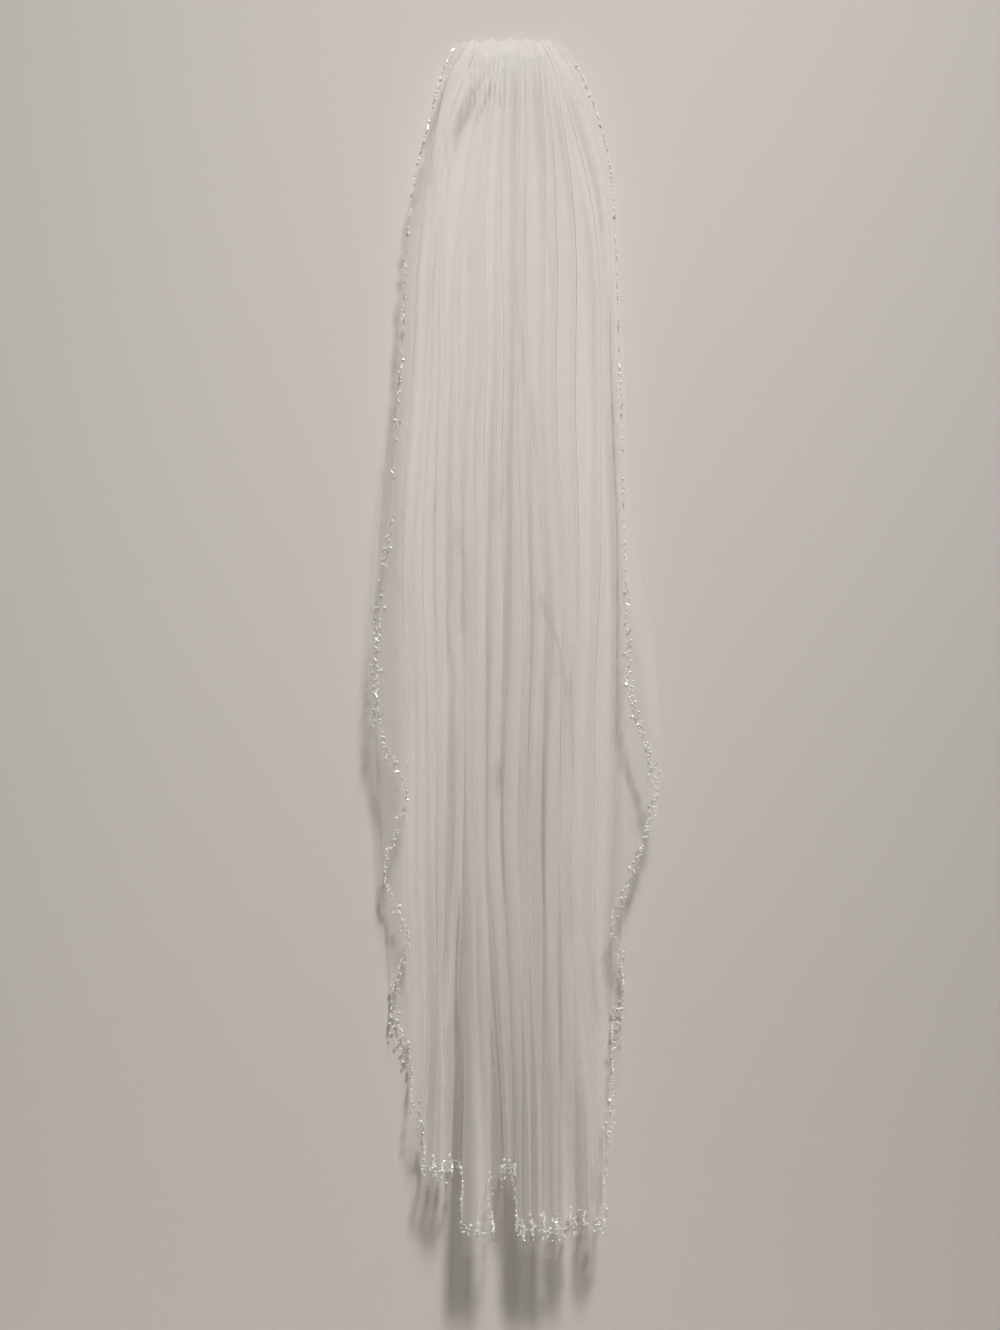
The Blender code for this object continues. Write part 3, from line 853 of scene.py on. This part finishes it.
def onCloth(cut):
    # the place and outward direction of points of the cut cloth as it hangs
    side, top = beads["inset"]
    u = np.clip(cut[:, 0], side, across[-1] - side)
    v = np.maximum(cut[:, 1], top)
    column = np.interp(u, across, np.arange(len(across)))
    down = np.clip(v / np.interp(u, across, lengths), 0, 1)
    row = np.interp(down, shares, np.arange(len(shares)))
    c = np.clip(column.astype(int), 0, len(across) - 2)
    r = np.clip(row.astype(int), 0, len(shares) - 2)
    fc = (column - c)[:, None]
    fr = (row - r)[:, None]

    def mixed(grid):
        upper = grid[r, c] * (1 - fc) + grid[r, c + 1] * fc
        lower = grid[r + 1, c] * (1 - fc) + grid[r + 1, c + 1] * fc
        return upper * (1 - fr) + lower * fr

    return mixed(surface), unit(mixed(normals))


def lineAt(places, runs, line):
    return np.column_stack([np.interp(places, runs, line[:, k]) for k in range(2)])


def resampled(line, step):
    runs = np.concatenate(([0.0], np.cumsum(np.linalg.norm(np.diff(line, axis=0), axis=1))))
    return lineAt(np.arange(0.0, runs[-1], step), runs, line)


def smoothed(values):
    steps = beads["smoothing"]
    padded = np.pad(values, steps // 2, mode="edge")
    return np.convolve(padded, np.ones(steps) / steps, mode="valid")


def inwardOf(line):
    tangent = unit(np.gradient(line, axis=0))
    return np.column_stack((tangent[:, 1], -tangent[:, 0]))


def edgeValue(rows, column, drop):
    table = np.array(rows, float)
    return np.interp(drop * 1000, table[:, 0], table[:, column])


def beadLine():
    # the raw edge of the cut, moved inwards, from one end of the comb to the other
    step, start = beads["step"], beads["start"]
    width = across[-1]
    left = [(0.0, v) for v in np.arange(start, veil["sideLeft"], step)]
    hem = [(u, float(np.interp(u, across, lengths))) for u in np.arange(0.0, width, step)]
    right = [(width, v) for v in np.arange(veil["sideRight"], start, -step)]
    edge = resampled(np.array(left + hem + right), step)
    edge = np.column_stack([smoothed(edge[:, k]) for k in range(2)])
    onLeft = np.linspace(0, 1, len(edge)) < 0.5
    margins = [edgeValue(rows, 1, edge[:, 1]) for rows in (leftEdge, rightEdge)]
    margin = smoothed(np.where(onLeft, *margins) / 1000)
    down = ease(edge[:, 1], *beads["hemFades"])
    margin = margin * (1 - down) + beads["marginHem"] * down
    return resampled(edge + inwardOf(edge) * margin[:, None], step)


def beadSeats(line, runs):
    draw = np.random.default_rng(beads["seed"])
    rows = []
    for number in range(int(runs[-1] / beads["motif"])):
        start = number * beads["motif"] + draw.uniform(-beads["uneven"], beads["uneven"])
        at = min(int(max(start, 0.0) / beads["step"]), len(line) - 1)
        drop = float(line[at, 1])
        low = float(ease(drop, *beads["sides"]))
        tall = low * draw.uniform(*beads["tall"]) + (1 - low) * draw.uniform(*beads["tallBeside"])
        shown = float(edgeValue(leftEdge if at < len(line) / 2 else rightEdge, 2, drop))
        skip = low * beads["skip"] + (1 - low) * (1 - shown)
        for kind, s0, n0, s1, n1 in spray:
            shake = draw.uniform(-1, 1, 4) * beads["jitter"]
            if draw.uniform() < skip or (kind == 2 and number % beads["crystalEvery"]):
                continue
            rows.append((
                kind,
                start + s0 / 1000 + shake[0], tall * n0 / 1000 + shake[1],
                start + s1 / 1000 + shake[2], tall * n1 / 1000 + shake[3],
            ))
    rows = np.array(rows)
    inward = inwardOf(line)

    def place(s, n):
        return onCloth(lineAt(s, runs, line) + lineAt(s, runs, inward) * n[:, None])

    first, firstOut = place(rows[:, 1], rows[:, 2])
    second, secondOut = place(rows[:, 3], rows[:, 4])
    out = unit(firstOut + secondOut)
    return rows[:, 0].astype(int), (first + second) / 2 + out * beads["lift"], unit(second - first)


class Geometry(Nodes):
    # a geometry node tree with an input for each named value and one for its material
    def __init__(self, name, values):
        super().__init__(bpy.data.node_groups.new(name, "GeometryNodeTree"))
        self.values = values
        self.socket("Geometry", "Geometry", "OUTPUT")
        self.socket("Geometry", "Geometry", "INPUT")
        for label, value in values.items():
            self.socket(label, "Int" if isinstance(value, int) else "Float", "INPUT")
        self.socket("Material", "Material", "INPUT")
        self.into = self.add("NodeGroupInput").outputs
        self.out = self.add("NodeGroupOutput")

    def random(self, low, high, seed):
        kind = {"data_type": "FLOAT"}
        return self.add("FunctionNodeRandomValue", kind, _2=low, _3=high, Seed=seed).outputs[1]

    def named(self, name, kind):
        kind = {"data_type": kind}
        return self.add("GeometryNodeInputNamedAttribute", kind, Name=name).outputs["Attribute"]

    def tube(self, curve, capped):
        # a smooth round thread along a curve
        ring = self.add("GeometryNodeCurvePrimitiveCircle", {"mode": "RADIUS"},
                        Resolution=self.into["Sides"], Radius=self.into["Radius"])
        mesh = self.add("GeometryNodeCurveToMesh", _0=curve, _1=ring.outputs[0], Fill_Caps=capped)
        return self.add("GeometryNodeSetShadeSmooth", _0=mesh.outputs[0]).outputs[0]

    def end(self, geometry):
        whole = self.add("GeometryNodeRealizeInstances", _0=geometry).outputs[0]
        look = self.into["Material"]
        painted = self.add("GeometryNodeSetMaterial", Geometry=whole, Material=look)
        self.feed(self.out, _0=painted.outputs[0])
        return self


def grow(item, geometry, material, name):
    # run the tree on the item and keep the result as a plain mesh
    modifier = item.modifiers.new("grow", "NODES")
    modifier.node_group = geometry.tree
    ids = {s.name: s.identifier for s in geometry.tree.interface.items_tree if s.in_out == "INPUT"}
    for label, value in {**geometry.values, "Material": material}.items():
        modifier[ids[label]] = value
    bpy.context.view_layer.update()
    graph = bpy.context.evaluated_depsgraph_get()
    grown = item.evaluated_get(graph)
    data = bpy.data.meshes.new_from_object(grown, preserve_all_data_layers=True, depsgraph=graph)
    data.name = name
    bpy.data.objects.remove(item, do_unlink=True)
    return linked(name, data)


def beadTree():
    g = Geometry("beads on a cut edge", beads["grown"])
    into = g.into
    segments, rings = beads["crystalFacets"]
    bugle = g.add("GeometryNodeMeshCylinder", {"fill_type": "NGON"}, Vertices=beads["bugleSides"],
                  Radius=into["Bugle Radius"], Depth=into["Bugle Length"])
    bead = g.add("GeometryNodeMeshIcoSphere", Subdivisions=beads["beadSplits"],
                 Radius=into["Bead Radius"])
    crystal = g.add("GeometryNodeMeshUVSphere", Segments=segments, Rings=rings,
                    Radius=into["Crystal Radius"])
    lengthwise = g.add("FunctionNodeAlignRotationToVector", {"axis": "Z"},
                       Vector=g.named("along", "FLOAT_VECTOR"))
    twist = g.random(0.0, math.tau, g.math("ADD", into["Seed"], beads["twistSeed"]))
    spun = g.add("FunctionNodeAxisAngleToRotation", Axis=(0.0, 0.0, 1.0), Angle=twist)
    turned = g.add("FunctionNodeRotateRotation", {"rotation_space": "LOCAL"},
                   Rotation=lengthwise.outputs[0], Rotate_By=spun.outputs[0])
    least = g.math("SUBTRACT", 1.0, into["Spread"])
    most = g.math("ADD", 1.0, into["Spread"])
    kind = g.named("kind", "INT")
    joined = g.add("GeometryNodeJoinGeometry")
    for number, (shape, smooth) in enumerate(((bugle, False), (bead, True), (crystal, False))):
        shaded = g.add("GeometryNodeSetShadeSmooth", Geometry=shape.outputs["Mesh"],
                       Shade_Smooth=smooth)
        chosen = g.add("FunctionNodeCompare", {"data_type": "INT", "operation": "EQUAL"},
                       _2=kind, _3=number)
        placed = g.add("GeometryNodeInstanceOnPoints", Points=into["Geometry"],
                       Selection=chosen.outputs[0], Instance=shaded.outputs[0],
                       Rotation=turned.outputs[0], Scale=g.random(least, most, into["Seed"]))
        tint = g.random(0.0, 1.0, g.math("ADD", into["Seed"], beads["tintSeed"] + number))
        stored = g.add("GeometryNodeStoreNamedAttribute",
                       {"data_type": "FLOAT", "domain": "INSTANCE"},
                       Geometry=placed.outputs[0], Name="tint", Value=tint)
        g.feed(joined, _0=stored.outputs[0])
    return g.end(joined.outputs[0])


def beadMaterial():
    material, nodes, shader = newMaterial("silver_lined_glass")
    tint = nodes.attribute("tint")
    ramp = nodes.add("ShaderNodeValToRGB", _0=tint)
    stops = ramp.color_ramp.elements
    for number, (at, shade) in enumerate(beadTints):
        stop = stops[number] if number < 2 else stops.new(at)
        stop.position = at
        stop.color = colour(shade)
    cloud = mottled(nodes, nodes.place(), beads["cloud"])
    nodes.feed(
        shader, Base_Color=ramp.outputs[0], Roughness=nodes.varied(cloud, *beads["roughness"]),
        Metallic=nodes.fit(tint, *beads["metalFrom"], *beads["metallic"]), **beads["finish"],
    )
    return material


print("beads: sewing the edging")
line = beadLine()
lineRuns = np.arange(len(line)) * beads["step"]
kinds, seats, ways = beadSeats(line, lineRuns)
points = meshObject("bead_seats", seats)
store(points, "kind", "INT", kinds)
store(points, "along", "FLOAT_VECTOR", ways)
beadEdging = grow(points, beadTree(), beadMaterial(), "bead_edging")
print("beads:", len(kinds), "on", round(len(line) * beads["step"], 2), "m, faces",
      len(beadEdging.data.polygons))


# threads
threads = {
    # depth is from behind the comb's spine to inside the gathers
    "stitch": {
        "Radius": 0.00011, "Sides": 5, "Depth": 0.0068, "Height": 0.0068,
        "Least Lean": 0.048, "Most Lean": 0.16, "Seed": 3,
    },
    "run": {"Radius": 0.00011, "Sides": 4},
    "perPitch": 2,            # stitches to each tooth of the comb
    "teeth": 16,
    "pitch": 0.0042,
    "pinRoom": 0.0016,        # no stitch where the hook's pin is
    "above": 0.0003,          # over the top of the spine
    "rounded": 0.32,          # a stitch's corners, as a share of its depth
    "roundSteps": 4,
    "runStep": 0.002,         # of the running thread under the beads
    "runLift": 1.5,           # radii from the cloth to its middle
    "colours": ((0.78, 0.77, 0.74), (0.93, 0.92, 0.90)),
    "twist": 900.0,
    "cloud": 600.0,
    "roughness": (0.45, 0.65),
    "bump": (1.0, 0.00005),   # strength and distance
    "finish": {"Sheen_Weight": 0.2},
}


def threadMaterial():
    material, nodes, shader = newMaterial("white_sewing_thread")
    place = nodes.place()
    wave = {"wave_type": "BANDS", "bands_direction": "DIAGONAL"}
    twist = nodes.add("ShaderNodeTexWave", wave, Vector=place, Scale=threads["twist"])
    twist = twist.outputs["Fac"]
    cloud = mottled(nodes, place, threads["cloud"])
    nodes.feed(
        shader, Base_Color=nodes.blend(twist, *threads["colours"]),
        Roughness=nodes.varied(cloud, *threads["roughness"]),
        Normal=nodes.bump(twist, *threads["bump"]), **threads["finish"],
    )
    return material


def stitchTree():
    g = Geometry("whip stitches", threads["stitch"])
    into = g.into
    loop = g.add("GeometryNodeCurvePrimitiveQuadrilateral", {"mode": "RECTANGLE"},
                 _0=into["Depth"], _1=into["Height"])
    rounded = g.add("GeometryNodeFilletCurve", {"mode": "POLY"}, Curve=loop.outputs[0],
                    Count=threads["roundSteps"],
                    Radius=g.math("MULTIPLY", into["Depth"], threads["rounded"]))
    lean = g.random(into["Least Lean"], into["Most Lean"], into["Seed"])
    lean = g.math("ADD", math.pi / 2, lean)
    angles = g.add("ShaderNodeCombineXYZ", _0=math.pi / 2, _1=0.0, _2=lean)
    turned = g.add("FunctionNodeEulerToRotation", _0=angles.outputs[0])
    placed = g.add("GeometryNodeInstanceOnPoints", Points=into["Geometry"],
                   Instance=g.tube(rounded.outputs[0], False), Rotation=turned.outputs[0])
    return g.end(placed.outputs[0])


def cordTree():
    g = Geometry("thread on a line", threads["run"])
    curve = g.add("GeometryNodeMeshToCurve", _0=g.into["Geometry"])
    return g.end(g.tube(curve.outputs[0], True))


print("threads: whipping the gathers to the comb")
threadLook = threadMaterial()
stitch = threads["stitch"]
stitchSeats = []
backOfComb = combHigh.y - veil["bow"]
count = (threads["teeth"] - 1) * threads["perPitch"]
for number in range(count):
    x = (number - (count - 1) / 2) * threads["pitch"] / threads["perPitch"]
    if abs(x) > threads["pinRoom"]:
        bow = veil["bow"] * (x / combHalf) ** 2
        middle = backOfComb + bow + stitch["Radius"] - stitch["Depth"] / 2
        stitchSeats.append((x, middle, combHigh.z + threads["above"] - stitch["Height"] / 2))
stitchItem = meshObject("stitch_seats", stitchSeats)
whipping = grow(stitchItem, stitchTree(), threadLook, "whipping_thread")

print("threads: running thread under the beads")
runAt = np.arange(0.0, lineRuns[-1], threads["runStep"])
runPlace, runOut = onCloth(lineAt(runAt, lineRuns, line))
runPath = runPlace + runOut * threads["run"]["Radius"] * threads["runLift"]
runEdges = [(i, i + 1) for i in range(len(runPath) - 1)]
runItem = meshObject("thread_path", runPath, edges=runEdges)
edgingThread = grow(runItem, cordTree(), threadLook, "edging_thread")


# comb and hook: how their solids look
finishes = {
    "veil_comb": {
        "name": "clear_moulded_plastic",
        "colours": ((0.90, 0.91, 0.89), (0.97, 0.97, 0.96)),
        "cloud": 140.0,
        "stretch": (1.0, 1.0, 0.3),
        "roughness": (0.10, 0.24),
        "grain": 700.0,
        "bump": (0.35, 0.0001),
        "shader": {"Transmission_Weight": 0.7, "IOR": 1.49},
    },
    "wall_hook": {
        "name": "white_coated_steel",
        "colours": ((0.80, 0.79, 0.77), (0.87, 0.86, 0.84)),
        "cloud": 180.0,
        "stretch": (1.0, 1.0, 1.0),
        "roughness": (0.28, 0.42),
        "grain": 1100.0,
        "bump": (0.5, 0.00012),
        "shader": {"Coat_Weight": 0.3},
    },
}


def hardMaterial(look):
    material, nodes, shader = newMaterial(look["name"])
    place = nodes.place()
    cloud = mottled(nodes, place, look["cloud"], look["stretch"])
    nodes.feed(
        shader, Base_Color=nodes.blend(cloud, *look["colours"]),
        Roughness=nodes.varied(cloud, *look["roughness"]),
        Normal=nodes.bump(mottled(nodes, place, look["grain"]), *look["bump"]), **look["shader"],
    )
    return material


print("comb and hook: finishes")
for nodeName, look in finishes.items():
    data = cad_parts[nodeName].data
    data.materials.clear()
    data.materials.append(hardMaterial(look))


# room, light and camera
room = {
    "wallColour": (0.72, 0.681, 0.649),
    "floorColour": (0.70, 0.67, 0.64),
    "mottled": 1.6,
    "darker": 0.97,
    "finish": {"Roughness": 0.85, "Specular_IOR_Level": 0.2},
    "wallGap": 0.0004,
    "halfWidth": 1.6,
    "ceiling": 1.0,
    "floor": -1.25,
    "depth": 2.2,
    "ambient": 0.085,
    "ambientColour": (1.0, 0.985, 0.97),
}
lights = {
    "key": {
        "power": 10.8, "place": (0.88, -2.92, 4.07), "target": (0.0, 0.0, -0.25), "size": 0.60,
        "shade": (1.0, 0.975, 0.95),
        "spread": 0.60,       # narrow, so that the light falls off towards the hem
    },
    "fill": {
        "power": 2.0, "place": (-0.6, -1.8, -0.2), "target": (0.0, 0.0, -0.5), "size": 0.35,
        "shade": (0.96, 0.98, 1.0), "spread": math.pi,
    },
    "rear": {
        "power": 6.0, "place": (-0.4, 1.6, 0.5), "target": (0.0, 0.0, -0.5), "size": 1.4,
        "shade": (1.0, 0.98, 0.96), "spread": math.pi,
    },
}
camera = {
    "x": -0.0075, "z": -0.510, "distance": 1.62, "plane": -0.022,
    "frameHeight": 1.104, "sensor": 24.0,
}


def stageMaterial(name, shade, oneSided):
    # a one-sided wall doesn't show from behind and lets all light through
    material, nodes, shader = newMaterial(name)
    cloud = mottled(nodes, nodes.place(), room["mottled"])
    darker = tuple(room["darker"] * part for part in shade)
    nodes.feed(shader, Base_Color=nodes.blend(cloud, shade, darker), **room["finish"])
    if oneSided:
        clear = nodes.add("ShaderNodeBsdfTransparent")
        away = nodes.add("ShaderNodeNewGeometry").outputs["Backfacing"]
        shadow = nodes.add("ShaderNodeLightPath").outputs["Is Shadow Ray"]
        mixer = nodes.add("ShaderNodeMixShader", _0=nodes.math("MAXIMUM", away, shadow),
                          _1=shader.outputs[0], _2=clear.outputs[0])
        nodes.feed(material.node_tree.nodes["Material Output"], _0=mixer.outputs[0])
    return material


def areaLight(name, power, place, target, size, shade, spread):
    data = bpy.data.lights.new(name, "AREA")
    data.shape = "RECTANGLE"
    data.size = data.size_y = size
    data.energy = power
    data.color = shade
    data.spread = spread
    item = linked(name, data)
    item.location = place
    away = np.array(target, float) - np.array(place, float)
    tilt = math.atan2(away[2], math.hypot(away[0], away[1]))
    item.rotation_euler = (math.pi / 2 + tilt, 0.0, math.atan2(-away[0], away[1]))


print("room: wall, floor, light and camera")
w, wallY, deep = room["halfWidth"], room["wallGap"], room["depth"]
low, high = room["floor"], room["ceiling"]
wallCorners = ((-w, wallY, low), (w, wallY, low), (w, wallY, high), (-w, wallY, high))
floorCorners = ((-w, -deep, low), (w, -deep, low), (w, deep, low), (-w, deep, low))
wallLook = stageMaterial("plain_wall", room["wallColour"], True)
floorLook = stageMaterial("plain_floor", room["floorColour"], False)
stages = (("back_wall", wallCorners, wallLook), ("floor", floorCorners, floorLook))
for name, corners, look in stages:
    meshObject(name, corners, [(0, 1, 2, 3)], material=look)
for name, light in lights.items():
    areaLight(name, **light)

world = bpy.data.worlds.new("soft_room")
scene.world = world
world.use_nodes = True
background = world.node_tree.nodes["Background"]
background.inputs["Color"].default_value = colour(room["ambientColour"])
background.inputs["Strength"].default_value = room["ambient"]
scene.view_settings.view_transform = "Standard"
scene.cycles.transparent_max_bounces = 64

cameraData = bpy.data.cameras.new("front")
cameraData.sensor_fit = "VERTICAL"
cameraData.sensor_height = camera["sensor"]
reach = camera["distance"] + camera["plane"]
cameraData.lens = camera["sensor"] * reach / camera["frameHeight"]
cameraItem = linked("front", cameraData)
cameraItem.location = (camera["x"], -camera["distance"], camera["z"])
cameraItem.rotation_euler = (math.pi / 2, 0.0, 0.0)
scene.camera = cameraItem

# what rides with the root body, and the solid that the tulle replaces
slotOf = ((tulle, "tulle"), (beadEdging, "beads"), (whipping, "thread"), (edgingThread, "thread"))
for piece, slotName in slotOf:
    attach(piece, "root")
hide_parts("tulle_panel")
